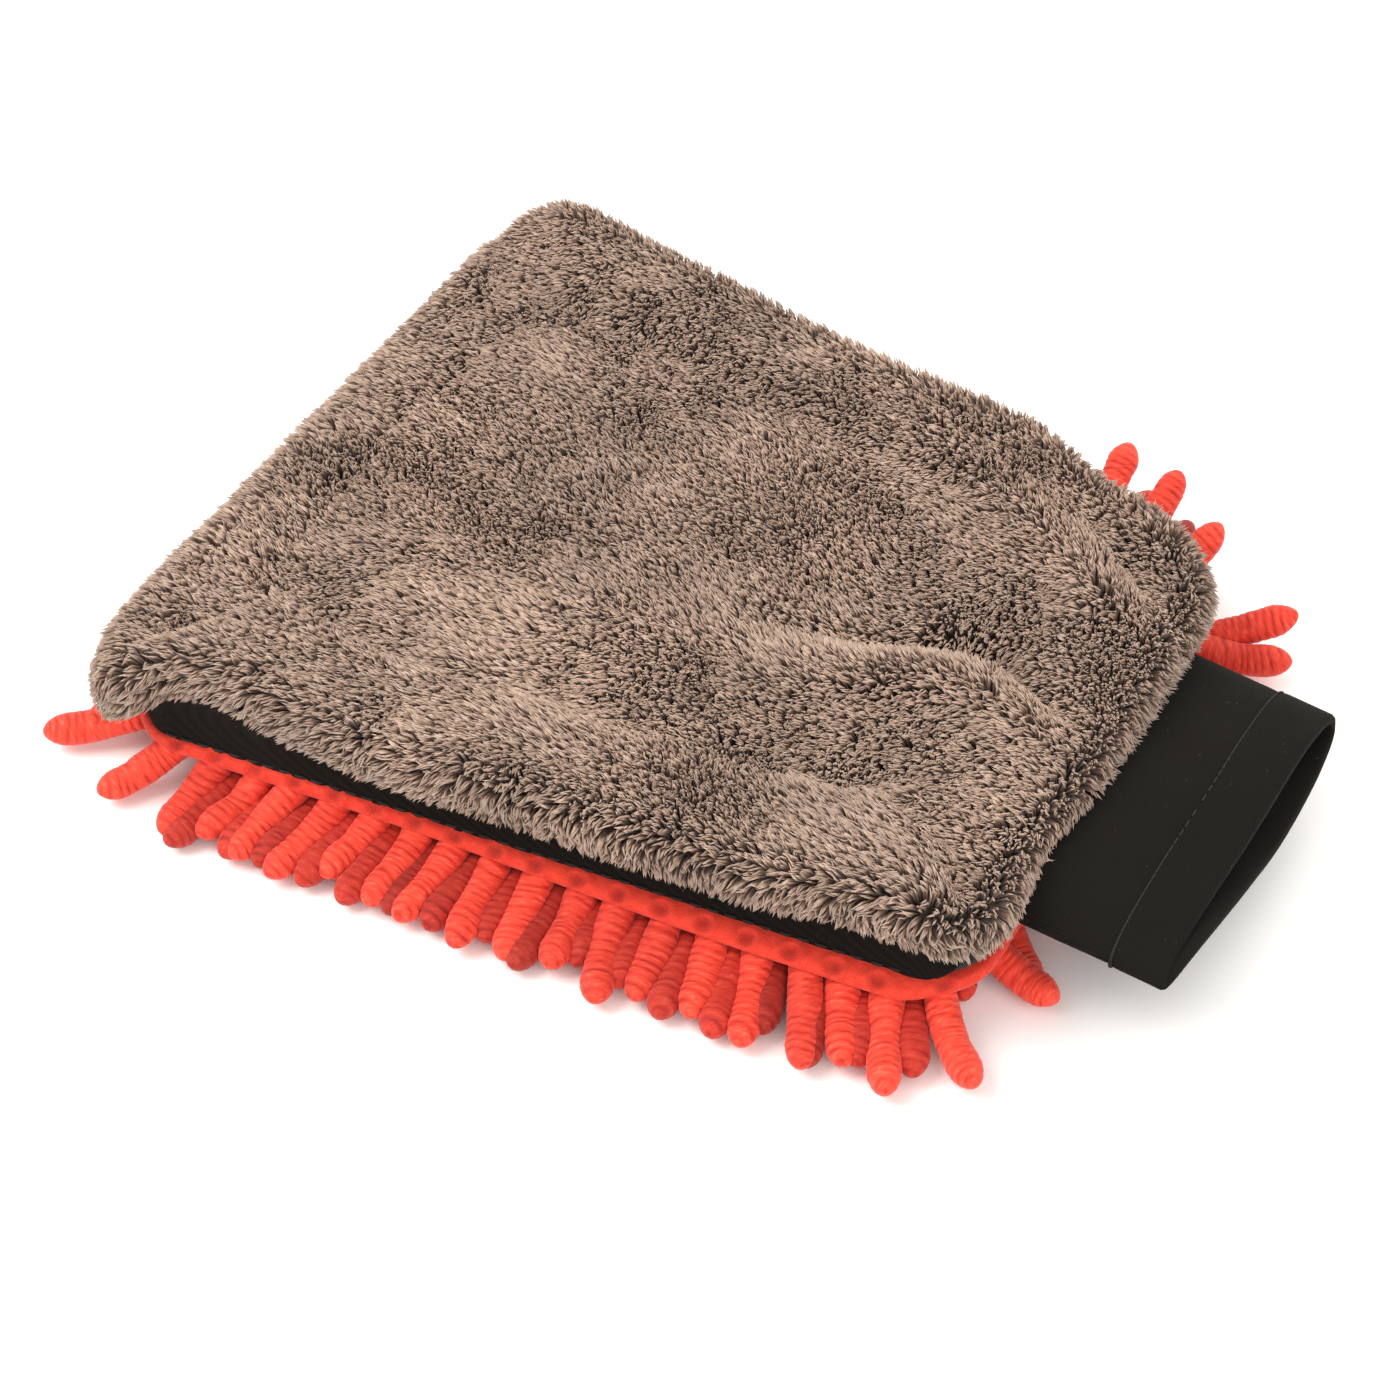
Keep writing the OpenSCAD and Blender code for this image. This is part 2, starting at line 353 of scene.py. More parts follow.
def plush_base():
    """The knit base cloth of the plush panel, an open sheet sewn down along its rim."""
    count, rim_steps, inner_steps = 300, 9, 34
    rings = plush_rings(count, rim_steps, inner_steps)
    mesh = mesh_from("plush_panel_cloth", to_row(np.concatenate(rings)),
                     grid_faces(len(rings), count, wrap=True))
    return new_object(face_outward(mesh, weld=0.0004, upward=True))


def seam_distance(piece):
    """How far, in mm, every point of an open sheet is from its sewn edge."""
    bm = bmesh.new()
    bm.from_mesh(piece.data)
    sewn = np.array([v.co for v in bm.verts if v.is_boundary])
    points = np.array([v.co for v in bm.verts])
    bm.free()
    return np.array([np.linalg.norm(sewn - p, axis=1).min() for p in points]) / MM


def settle(piece, hold, frames, cap, pressure):
    """Cloth simulation: points with hold = 1 stay sewn down and the rest sink, with nothing under
    them. No point moves by more than cap, and the result is applied."""
    rest = np.array([v.co for v in piece.data.vertices])
    group = piece.vertex_groups.new(name="sewn")
    for i, firmness in enumerate(hold):
        group.add([i], float(firmness), "REPLACE")
    cloth = piece.modifiers.new("Cloth", "CLOTH")
    chosen = dict(quality=5, mass=0.3, tension_stiffness=15.0, compression_stiffness=15.0,
                  shear_stiffness=5.0, bending_stiffness=0.5, vertex_group_mass="sewn",
                  pin_stiffness=1.0, shrink_min=-0.02, use_pressure=True,
                  uniform_pressure_force=pressure)
    for key, value in chosen.items():
        setattr(cloth.settings, key, value)
    cloth.collision_settings.use_collision = False
    cloth.point_cache.frame_start, cloth.point_cache.frame_end = 1, frames
    scene = bpy.context.scene
    for f in range(1, frames + 1):
        scene.frame_set(f)
    shaped = piece.evaluated_get(bpy.context.evaluated_depsgraph_get())
    moved = np.array([v.co for v in shaped.data.vertices])
    piece.modifiers.clear()
    piece.vertex_groups.clear()
    scene.frame_set(1)
    step = moved - rest
    far = np.maximum(np.linalg.norm(step, axis=1), 1e-9)
    step *= np.minimum(1, cap / far)[:, None]
    piece.data.vertices.foreach_set("co", (rest + step).astype(np.float32).ravel())
    piece.data.update()


# ---- plush panel: the pile

# Length of a strand, the way the nap lies, and how many strands make a tuft
PILE = 6.6
NAP = np.array([-0.34, -0.94, 0.0])
STRANDS = 118000
STRAND_R = 0.285
TUFT = 3
PILE_PIECES = 6


def surface_samples(piece, count, rng):
    """Random points on a mesh, in mitt millimetres, with the surface's normals there."""
    mesh = piece.data
    mesh.calc_loop_triangles()
    co = np.array([v.co for v in mesh.vertices]) / MM - [ORIGIN_X, 0, 0]
    nor = np.array([v.normal for v in mesh.vertices])
    tri = np.array([t.vertices for t in mesh.loop_triangles])
    a, b, c = co[tri[:, 0]], co[tri[:, 1]], co[tri[:, 2]]
    area = np.linalg.norm(np.cross(b - a, c - a), axis=1)
    pick = rng.choice(len(tri), count, p=area / area.sum())
    u, v = rng.random(count), rng.random(count)
    flip = u + v > 1
    u[flip], v[flip] = 1 - u[flip], 1 - v[flip]
    w = np.stack([1 - u - v, u, v], 1)[:, :, None]
    points = (co[tri[pick]] * w).sum(1)
    normals = (nor[tri[pick]] * w).sum(1)
    return points, normals / np.linalg.norm(normals, axis=1)[:, None]


def unit(v):
    return v / np.maximum(np.linalg.norm(v, axis=-1, keepdims=True), 1e-9)


def nearest(points, centres):
    """Index of the nearest centre to each point."""
    tree = KDTree(len(centres))
    for i, c in enumerate(centres):
        tree.insert(c, i)
    tree.balance()
    return np.array([tree.find(p)[1] for p in points])


def pile_fields(root, normal, rng, wander):
    """Direction at the root and at the tip, and length, of strands that stand on the cloth."""
    x, y = root[:, 0], root[:, 1]
    outward = np.column_stack([x - 100, y * 1.2, np.zeros(len(x))])
    edge = smooth(0.95, 0.25, normal[:, 2])[:, None]
    swirl = np.column_stack([noise2(x, y, 26, 21), noise2(x, y, 26, 22), np.zeros(len(x))])
    swirl += 0.7 * np.column_stack([noise2(x, y, 9, 23), noise2(x, y, 9, 24), np.zeros(len(x))])
    lay = unit(NAP * (1 - 0.9 * edge) + unit(outward) * edge + 0.55 * swirl)
    lay = lay + rng.normal(0, wander, lay.shape)
    lay -= normal * (lay * normal).sum(1, keepdims=True)
    lay = unit(lay)
    lean = 0.34 + 0.16 * noise2(x, y, 30, 25) + rng.normal(0, 0.07, len(x))
    droop = np.array([0, 0, -0.25]) * edge
    first = unit(normal + lay * (lean * 0.6)[:, None])
    last = unit(normal * 0.8 + lay * (lean * 1.8)[:, None] + droop)
    length = PILE * (1 + 0.08 * noise2(x, y, 14, 26) + rng.normal(0, 0.05, len(x)))
    length *= mix(1.0, np.where(y < 0, 0.86, 0.92), edge[:, 0])
    return first, last, length


def pile(base):
    """The pile: fine tapered strands that gather into pointed tufts."""
    rng = np.random.default_rng(7)
    tufts, tuft_normal = surface_samples(base, STRANDS // TUFT, rng)
    t_first, t_last, t_length = pile_fields(tufts, tuft_normal, rng, 0.30)
    tuft_tip = tufts + (t_first * 0.45 + t_last * 0.55) * t_length[:, None]
    tuft_tone = rng.random(len(tufts))

    root, normal = surface_samples(base, STRANDS, rng)
    owner = nearest(root, tufts)
    first, last, length = pile_fields(root, normal, rng, 0.16)
    own_tip = root + (first * 0.45 + last * 0.55) * length[:, None]
    join = (0.55 + 0.25 * rng.random(STRANDS))[:, None]
    tip = mix(own_tip, tuft_tip[owner], join)
    tip += rng.normal(0, 0.15, tip.shape)
    middle = root + first * (length * 0.66)[:, None]
    middle = mix(middle, mix(root, tip, 0.66) + normal * 0.5, 0.5)
    middle += rng.normal(0, 0.08, middle.shape)

    along = unit(tip - root)
    side = unit(np.cross(along, rng.normal(size=along.shape)))
    other = np.cross(along, side)
    thick = STRAND_R * (1 + rng.normal(0, 0.12, STRANDS))
    points = np.zeros((STRANDS, 7, 3))
    for k in range(3):
        a = 2 * math.pi * k / 3
        ray = side * math.cos(a) + other * math.sin(a)
        points[:, k] = root - normal * 0.3 + ray * thick[:, None]
        points[:, 3 + k] = middle + ray * (thick * 1.05)[:, None]
    points[:, 6] = tip
    faces = [(0, 1, 4, 3), (1, 2, 5, 4), (2, 0, 3, 5), (3, 4, 6), (4, 5, 6), (5, 3, 6)]
    uv = [(0, 0), (0.5, 0), (1, 0), (0, 0.5), (0.5, 0.5), (1, 0.5), (0.5, 1)]
    tones = np.zeros((STRANDS, 7, 3))
    # Red runs from root to tip: painted shade at the roots, painted highlight at the tips.
    tones[:, 3:6, 0] = 0.6
    tones[:, 6, 0] = 1.0
    tones[:, :, 1] = (0.65 * tuft_tone[owner] + 0.35 * rng.random(STRANDS))[:, None]
    # Painted light and shade in soft patches, standing in for the lean of the pile.
    painted_light_patch = 0.5 + 0.3 * noise2(root[:, 0], root[:, 1], 24, 31)
    painted_light_patch += 0.2 * noise2(root[:, 0], root[:, 1], 11, 32)
    tones[:, :, 2] = painted_light_patch[:, None]

    order = np.argsort(root[:, 0])
    pieces = []
    for i, part in enumerate(np.array_split(order, PILE_PIECES)):
        mesh = strand_mesh(f"plush_pile_{i + 1}", points[part], faces, uv, tones[part])
        pieces.append(new_object(mesh))
    return pieces


# ---- noodles

NOODLE_ROWS = sorted(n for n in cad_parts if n.startswith("noodle_row_"))
# Radius, distance from rib to rib, half the distance from one edge noodle to the next, and the
# reach in plan past which a CAD noodle is an edge one
NOODLE_R = 3.8
RIB = 2.1
GAP = 5.1
EDGE_LENGTH = 15.0
YARN_STEPS, YARN_SIDES = 92, 20


def islands(mesh):
    """The vertex positions of each separate solid in a mesh, in mitt millimetres."""
    bm = bmesh.new()
    bm.from_mesh(mesh)
    bmesh.ops.remove_doubles(bm, verts=bm.verts, dist=1e-6)
    seen, found = set(), []
    for start in bm.verts:
        if start in seen:
            continue
        stack, members = [start], []
        seen.add(start)
        while stack:
            v = stack.pop()
            members.append(v.co[:])
            for e in v.link_edges:
                w = e.other_vert(v)
                if w not in seen:
                    seen.add(w)
                    stack.append(w)
        found.append(np.array(members) / MM - [ORIGIN_X, 0, 0])
    bm.free()
    return found


def cad_noodles(node):
    """Root and tip of every noodle in a CAD row, from its solids' long axes."""
    ends = []
    for pts in islands(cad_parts[node].data):
        centre = pts.mean(0)
        axis = np.linalg.svd(pts - centre)[2][0]
        run = (pts - centre) @ axis
        a, b = centre + axis * run.min(), centre + axis * run.max()
        if a[2] < b[2]:
            a, b = b, a
        ends.append((a, b))
    return sorted(ends, key=lambda e: e[0][1])


def edge_aim(root, ahead):
    """Direction in plan and reach of a noodle at the rim of the mitt, and the rise of its tip."""
    x, y = root[:2]
    if x < 8 and abs(y) < TIP_W - 20:
        return ahead, 30.0, 5.0
    if y < 0:
        turn = (x - 85) * (0.14 if x < 85 else 0.27)
        turn -= 52 * smooth(13, 2, x) + 26 * np.exp(-((x - 14) / 5) ** 2)
        if x > BODY_L - 10:
            turn = 40 if y < -56 else 82
        reach = 27.0 + 5.0 * smooth(40, 150, x) - 4.0 * smooth(180, 196, x) + 6.0 * smooth(10, 2, x)
        rise = 0.6
    else:
        turn = (x - 85) * 0.13 - 7 * np.exp(-((x - 165) / 8) ** 2) + 18 * smooth(178, 190, x)
        if x > BODY_L - 10:
            turn = 72 if y > 50 else 86
        reach = 27.0 + 14.0 * smooth(140, 166, x) - 12.0 * smooth(172, 188, x)
        reach += 7.0 * smooth(190, 198, x)
        rise = 1.0 + 15.0 * smooth(146, 170, x) * (1 - 0.95 * smooth(186, 198, x))
    a = math.radians(turn)
    return np.array([math.sin(a), math.copysign(math.cos(a), y)]), reach, rise


def noodle_route(root, tip, edge, rng, steps):
    """The centre line of one noodle, from inside the backing to its tip, and its painted shade.
    The noodles behind the edge ones come out in the gaps between them."""
    flat = tip[:2] - root[:2]
    reach = np.linalg.norm(flat)
    ahead = flat / max(reach, 1e-6)
    half = float(line_w(np.clip(root[0], TIP_R, BODY_L - 4)))
    at_edge = reach > EDGE_LENGTH
    second = not at_edge and (half - abs(root[1]) < 20 or root[0] < 18)
    s = np.linspace(0, 1, steps)
    tipward = second and root[0] < 18 and half - abs(root[1]) > 14
    fanned = second and root[1] > 0 and BODY_L - 24 < root[0] < BODY_L - 10
    if tipward:
        ahead, reach, rise = np.array([-1.0, 0.0]), 30.0, 4.0
    elif fanned:
        ahead, reach, rise = np.array([0.85, 0.53]), 34.0, 34.0
    elif at_edge or second:
        ahead, reach, rise = edge_aim(root, ahead)
    side = np.array([-ahead[1], ahead[0]])
    if at_edge:
        # Edge noodles get the lightest painted shade, varied at random.
        shade = rng.uniform(0.55, 1.0)
        reach *= 1 + (0.4 if rise > 5 else 1.0) * rng.uniform(-0.13, 0.07)
        bend = rng.uniform(-3.0, 3.0) * s ** 1.7 + rng.uniform(-1.4, 1.4) * np.sin(math.pi * s)
        low = NOODLE_R + rng.uniform(0.1, 1.0)
        z = mix(Z_BACK - 0.9, low, smooth(-0.12, rng.uniform(0.62, 0.85), s)) + rise * s ** 2
        run = reach * s - 1.0
    elif second:
        # Painted shadow: the noodles behind the edge ones are coloured dark, the fanned ones
        # bright.
        shade = 0.7 if fanned else rng.uniform(0.0, 0.3)
        reach = (reach + 9.0) * (1 + rng.uniform(-0.13, 0.08))
        shift = 0.0
        if not (tipward or fanned) and root[0] < BODY_L - 10:
            shift = -GAP * abs(ahead[1]) * np.sign(root[1]) - (root[:2] - edge[:2]) @ side
        bend = (shift * smooth(0, 0.45, s) + rng.uniform(-1.5, 1.5) * s ** 2
                + rng.uniform(-0.7, 0.7) * np.sin(math.pi * s))
        z = mix(Z_BACK - 3.0, NOODLE_R, smooth(0, 0.42, s)) + 0.3 * rise * s ** 2
        run = reach * s
    else:
        # Painted shade for the inner noodles, which lie under the mitt.
        shade = rng.uniform(0.3, 0.75)
        reach = reach + rng.uniform(8, 13)
        bend = rng.uniform(-2.2, 2.2) * np.sin(math.pi * s) + rng.uniform(-3, 3) * s ** 2
        z = mix(Z_BACK - 2.2, NOODLE_R, smooth(0, 0.8, s))
        run = reach * s
    spot = root[:2] + np.outer(run, ahead) + np.outer(bend, side)
    return np.column_stack([spot, z + 0.3]), shade


def tube_points(route, radius, ring):
    """Rings of points round a route; radius is one row for each ring."""
    tangent = unit(np.gradient(route, axis=0))
    up = np.array([0.0, 0.0, 1.0])
    first = unit(np.cross(tangent, up + 0.01))
    second = np.cross(first, tangent)
    out = (first[:, None] * np.cos(ring)[None, :, None]
           + second[:, None] * np.sin(ring)[None, :, None])
    return route[:, None] + out * radius[:, :, None]


def noodle_skin(route, shade, seed, rng):
    """Points and tones of one ribbed chenille yarn with a blunt, rounded end."""
    ring = angles(YARN_SIDES)
    run = np.concatenate([[0], np.cumsum(np.linalg.norm(np.diff(route, axis=0), axis=1))])
    end = run[-1]
    s = end * (1 - (1 - np.linspace(0, 1, YARN_STEPS)) ** 1.18)
    line = np.stack([np.interp(s, run, route[:, k]) for k in range(3)], 1)
    blunt = np.clip(1 - (1 - np.clip((end - s) / 6.0, 0, 1)) ** 1.9, 0, 1) ** 0.58
    lump = noise2(s, 0 * s, 4.3, 300 + seed)
    body = NOODLE_R * (1 + 0.055 * lump + 0.02 * np.sin(s / 3.1 + rng.uniform(0, 6))) * blunt
    body *= mix(0.90, 1.0, smooth(0, 5, s))
    phase = rng.uniform(0, 6)
    wobble = 0.24 * np.sin(ring + phase)[None] + 0.16 * np.sin(2 * ring + 2 * phase)[None]
    drift = 0.6 * noise2(s, 0 * s, 3.4, 900 + seed)[:, None]
    turns = s[:, None] / RIB + wobble + drift
    broken = 0.62 + 0.55 * noise2(s[:, None] + 0 * ring, 0 * s[:, None] + 3.8 * ring, 2.4,
                                  1700 + seed)
    furrow = np.exp(-((turns - np.round(turns)) / 0.16) ** 2) * np.clip(broken, 0.1, 1)
    grain = rng.normal(size=(YARN_STEPS, YARN_SIDES)).clip(-1.6, 1.6)
    radius = body[:, None] * (1.0 - 0.045 * furrow + 0.014 * grain) + 0.02
    points = tube_points(line, radius, ring)
    last = line[-1] + (line[-1] - line[-2]) * 0.2
    tone = np.zeros((YARN_STEPS, YARN_SIDES, 3))
    # Red: painted shade in the furrows between the ribs, with random grain.
    tone[:, :, 0] = np.clip(0.78 - 0.7 * furrow + 0.13 * grain, 0, 1)
    # Green is the noodle's painted shade.
    tone[:, :, 1] = shade
    tone[:, :, 2] = (s / end)[:, None]
    return (np.concatenate([points.reshape(-1, 3), line[:1], last[None]]),
            np.concatenate([tone.reshape(-1, 3), [[0.5, shade, 0], [0.5, shade, 1]]]))


def noodle_row(node, index):
    """One tufted row of noodles as one piece."""
    rng = np.random.default_rng(100 + index)
    ends = cad_noodles(node)
    skins = []
    for i, (root, tip) in enumerate(ends):
        edge = ends[0][0] if root[1] < 0 else ends[-1][0]
        route, shade = noodle_route(root, tip, edge, rng, 200)
        skins.append(noodle_skin(route, shade, i + 40 * index, rng))
    points, tones = (np.array(part) for part in zip(*skins))
    steps, sides = YARN_STEPS, YARN_SIDES
    faces = [tuple(f[::-1]) for f in grid_faces(steps, sides, wrap=True)]
    low, high = steps * sides, steps * sides + 1
    base = (steps - 1) * sides
    for k in range(sides):
        faces.append((low, k, (k + 1) % sides))
        faces.append((base + (k + 1) % sides, base + k, high))
    uv = [(k / (sides - 1), j / (steps - 1)) for j in range(steps) for k in range(sides)]
    uv += [(0.5, 0.0), (0.5, 1.0)]
    return new_object(strand_mesh(node + "_chenille", points, faces, uv, tones))


# ---- knit base under the mitt

def edge_roots():
    """Where the edge noodles leave the base sheet."""
    roots = []
    for node in NOODLE_ROWS:
        ends = cad_noodles(node)
        roots += [ends[0][0], ends[-1][0]]
        if node == NOODLE_ROWS[0]:
            roots += [e[0] for e in ends[1:-1]]
    return np.array(roots)


def backing():
    """The base sheet: its edge rolls out and down over the roots of the noodles, and each root
    puckers it."""
    count, top_z, under_z = 900, 14.2, 11.3
    pts, normal, _ = outline(count)
    x, y = pts[:, 0], pts[:, 1]
    out = 1.4 + 3.8 * smooth(50, 165, x) * (1 - smooth(BODY_L - 16, BODY_L - 4, x))
    # Distance outside the seam, in units of out where it is positive, and height
    profile = [(-9, 14.2), (-4, 14.25), (-1, 14.35), (0.1, 14.35), (0.2, 14.3), (0.32, 14.2),
               (0.44, 14.1), (0.56, 13.95), (0.68, 13.75), (0.8, 13.4), (0.92, 12.9),
               (1.0, 12.4), (0.95, 11.6), (0.7, 10.9), (0.2, 10.5), (-2, 10.6), (-6, 11.2)]
    rings = []
    for g, z in profile:
        spread = g * out if g > 0 else np.full(count, float(g))
        rings.append(np.column_stack([pts + normal * spread[:, None], np.full(count, z)]))
    spine = spine_of(pts)

    def inward(ring, z, steps):
        """Flat rings from one ring in to the spine."""
        return [np.column_stack([mix(spine, ring[:, :2], 1 - j / steps), np.full(count, z)])
                for j in range(1, steps + 1)]

    rings = inward(rings[0], top_z, 10)[::-1] + rings + inward(rings[-1], under_z, 22)
    points = np.concatenate(rings)
    tone = np.ones(len(points))
    for root in edge_roots():
        i = int(np.argmin(np.hypot(x - root[0], y - root[1])))
        spot = np.append(pts[i] + normal[i] * out[i] * 0.6, 13.9)
        d = np.linalg.norm(points - spot, axis=1)
        push = 0.7 * np.exp(-((d - 2.6) / 0.8) ** 2) - 0.9 * np.exp(-(d / 1.5) ** 2)
        points += push[:, None] * np.append(normal[i] * 0.6, 0.8)
        # Painted shade round each noodle root.
        tone -= 0.75 * np.exp(-(d / 1.7) ** 2)
    mesh = mesh_from("chenille_backing_cloth", to_row(points),
                     grid_faces(len(rings), count, wrap=True)[:, ::-1])
    shade = mesh.color_attributes.new("Tone", "FLOAT_COLOR", "POINT")
    shade.data.foreach_set("color", np.repeat(np.clip(tone, 0, 1), 4).astype(np.float32))
    return new_object(face_outward(mesh, weld=0.0003))


# ---- gussets and linings

def close_sheet(name, front, rows, columns, normal_out, thick):
    """A closed thin shell: front is a grid of points and the back lies thick behind it."""
    back = front - normal_out * thick
    grid = grid_faces(rows, columns)
    n = rows * columns
    faces = [tuple(f) for f in grid] + [tuple(i + n for i in f[::-1]) for f in grid]
    rim = list(range(columns)) + [r * columns + columns - 1 for r in range(1, rows)]
    rim += [(rows - 1) * columns + c for c in range(columns - 2, -1, -1)]
    rim += [r * columns for r in range(rows - 2, 0, -1)]
    for a, b in zip(rim, rim[1:] + rim[:1]):
        faces.append((b, a, a + n, b + n))
    return new_object(face_outward(mesh_from(name, to_row(np.concatenate([front, back])), faces)))


def gusset_line(side):
    """The part of the seam outline that one gusset covers, with its height along it."""
    pts, normal, s = outline(1200)
    tip, wrist = edge_kind(pts)
    lift = rim_lift(pts) * (1 - tip) * (1 - wrist)
    keep = (pts[:, 1] * side > 20) & (pts[:, 0] > 3.0) & (pts[:, 0] < BODY_L - 3)
    pts, normal, s, lift = pts[keep], normal[keep], s[keep], lift[keep]
    from_end = np.minimum(s - s.min(), s.max() - s)
    full = np.sqrt(np.clip(1 - (1 - np.clip(from_end / 9.0, 0, 1)) ** 2, 0.0009, 1))
    return pts, normal, s, lift, full


def gusset(side, name):
    """One side gusset, tucked in between the plush rim and the base sheet."""
    pts, normal, s, lift, full = gusset_line(side)
    rows, thick = 14, 0.9
    low = Z_SEAM_LOW + 0.2
    high = Z_SEAM_TOP + 0.2 + lift * 0.8
    middle = mix(low, high, 0.42)
    grid = []
    for v in np.linspace(0, 1, rows):
        z = middle + (mix(low, high, v) - middle) * full
        tuck = -1.5 * np.sin(math.pi * v) + 0.25 * noise2(s, z, 7, 41) - 0.25
        grid.append(np.column_stack([pts + normal * tuck[:, None], z]))
    out = np.tile(np.column_stack([normal, np.zeros(len(s))]), (rows, 1))
    return close_sheet(name, np.concatenate(grid), rows, len(s), out, thick)


def lining(name, z, ripple, seed):
    """An inner lining panel, lightly rippled."""
    rows, columns = 70, 60
    inside, thick = 2.4, 0.4
    u, v = np.meshgrid(np.linspace(0, 1, rows), np.linspace(-1, 1, columns), indexing="ij")
    x = 1.8 + u * (BODY_L - 2.2)

    def corner(radius, along):
        """What a round corner adds to the half width, 0 or less, along from its centre."""
        return np.sqrt(radius ** 2 - np.clip(along, 0, radius) ** 2) - radius

    def width(side):
        radius = SHOULDER_R[side]
        start = BODY_L - radius
        tip = TIP_W + corner(TIP_R, TIP_R - x)
        shoulder = line_w(start) + corner(radius, x - start)
        return np.where(x < TIP_R, tip, np.where(x < start, line_w(x), shoulder)) - inside

    y = np.where(v < 0, v * width(-1), v * width(1))
    height = z + ripple * noise2(x, y, 20, seed)
    front = np.column_stack([x.ravel(), y.ravel(), height.ravel()])
    return close_sheet(name, front, rows, columns, np.array([0, 0, 1.0]), thick)


# ---- cuff

# Length of the hem, how far it stands proud of the rest, and how far in the inner face lies,
# which is twice as far in the hem
HEM = 12.5
HEM_STEP = 0.45
INNER = 1.5


def cuff_point(x, a, inset):
    """Points of the cuff's surface: x along it, a round it, inset in from the outside."""
    c, s = np.cos(a), np.sin(a)
    k = np.sign(c) * np.abs(c) ** 0.78
    along = (x - X_CUFF) / (X_MOUTH - X_CUFF)
    near = smooth(0.35, -1.0, k)
    wide_open = mix(mix(0.30, 1.0, smooth(-0.95, 0.75, k)), 1.0, smooth(0.9, 1.0, k))
    lens = mix(mix(0.80, 1.0, smooth(-1, 0, k)), wide_open, smooth(0.0, 0.9, along))
    y = CUFF_Y + 1.5 - 3.0 * along + (CUFF_W + 0.8 - 0.6 * along - inset * 0.9) * k
    swell = 1 + 0.05 * noise2(x, y, 22, 51) + 0.035 * noise2(x, y, 9, 52)
    rise = (CUFF_H * lens * swell - inset) * np.sign(s) * np.abs(s) ** 0.72
    middle = CUFF_Z - 0.2 + 2.8 * near - 0.6 * smooth(0.2, 1, k)
    return np.stack([x - 2.6 * along * near, y, middle + rise], -1)


def mouth_x(a):
    """Where the mouth of the cuff is, at angle a round it."""
    return X_MOUTH - 0.6 - 2.0 * np.sin(a)


def cuff():
    """The knit cuff as one closed wall, outside, mouth and inside. The hem is a thicker part of
    it and not a second layer."""
    around = 160
    a = angles(around)
    reach = mouth_x(a)
    start = X_CUFF - 4.0
    rings = []
    for t in np.linspace(0, 1, 44):
        x = mix(start, reach, t)
        hem = smooth(HEM + 0.8, HEM - 0.8, reach - x)
        groove = np.exp(-((reach - x - HEM) / 0.7) ** 2)
        rings.append(cuff_point(x, a, HEM_STEP * (1 - hem + groove)))
    for turn in math.pi * np.linspace(0.25, 1.0, 5):
        rings.append(cuff_point(reach + math.sin(turn), a, (1 - math.cos(turn)) * INNER))
    for t in np.linspace(0.04, 1, 30):
        x = mix(reach, start, t)
        inset = INNER * mix(2, 1, smooth(HEM - 0.6, HEM + 0.6, reach - x))
        rings.append(cuff_point(x, a, inset))
    return new_object(face_outward(ring_mesh("cuff_knit", rings, around)))


def elastic_band():
    """The band inside the thickness of the hem."""
    around = 96
    a = angles(around)
    # Distance from the mouth and depth below the outside
    profile = [(11.5, 1.1), (1.6, 1.1), (1.2, 1.5), (1.6, 1.9), (11.5, 1.9), (11.9, 1.5)]
    rings = [cuff_point(mouth_x(a) - from_mouth, a, inset) for from_mouth, inset in profile]
    return new_object(ring_mesh("cuff_elastic_band", rings, around))


# ---- stitches

def stitches(name, places, runs, thick=0.42, length=3.0):
    """Short lengths of thread, each sunk a little at both ends."""
    sides = 6
    ring = angles(sides)
    # Place along the stitch, thickness and height
    profile = [(-0.5, 0.25, -0.30), (-0.42, 0.8, -0.05), (0.0, 1.0, 0.08), (0.42, 0.8, -0.05),
               (0.5, 0.25, -0.30)]
    out_points = []
    for place, (run, lift) in zip(places, runs):
        run, lift = unit(np.array(run, float)), unit(np.array(lift, float))
        across = np.cross(run, lift)
        rows = []
        for along, fat, height in profile:
            centre = np.array(place) + run * along * length + lift * height
            rows.append(centre + fat * thick * (np.outer(np.cos(ring), across)
                                                + np.outer(np.sin(ring), lift)))
        out_points.append(np.concatenate(rows))
    n = len(profile)
    faces = [tuple(f) for f in grid_faces(n, sides, wrap=True)]
    faces += [tuple(range(sides))[::-1], tuple((n - 1) * sides + k for k in range(sides))]
    uv = [(k / (sides - 1), j / (n - 1)) for j in range(n) for k in range(sides)]
    tones = np.full((len(out_points), n * sides, 3), 0.5)
    return new_object(face_outward(strand_mesh(name, np.array(out_points), faces, uv, tones)))


STITCH_PITCH = 4.2


def side_seam(name, at_top):
    """Stitches on both gussets, at the plush edge or at the base sheet."""
    places, runs = [], []
    for side in (-1, 1):
        pts, normal, s, lift, _ = gusset_line(side)
        for place in np.arange(s.min() + 12, s.max() - 12, STITCH_PITCH):
            i = int(np.argmin(np.abs(s - place)))
            z = Z_SEAM_TOP - 0.6 + lift[i] * 0.8 if at_top else Z_SEAM_LOW + 1.0
            places.append(np.append(pts[i] - normal[i] * 0.35, z))
            nx, ny = normal[i]
            runs.append(((-ny, nx, 0), (nx, ny, 0)))
    return stitches(name, places, runs)


def fingertip_seam():
    y_end = TIP_W - TIP_R
    ys = np.arange(-y_end, y_end, STITCH_PITCH)
    places = [(-0.6, y, Z_SEAM_LOW + 0.5) for y in ys]
    return stitches("fingertip_thread", places, [((0, 1, 0), (-1, 0, 0.3))] * len(ys))


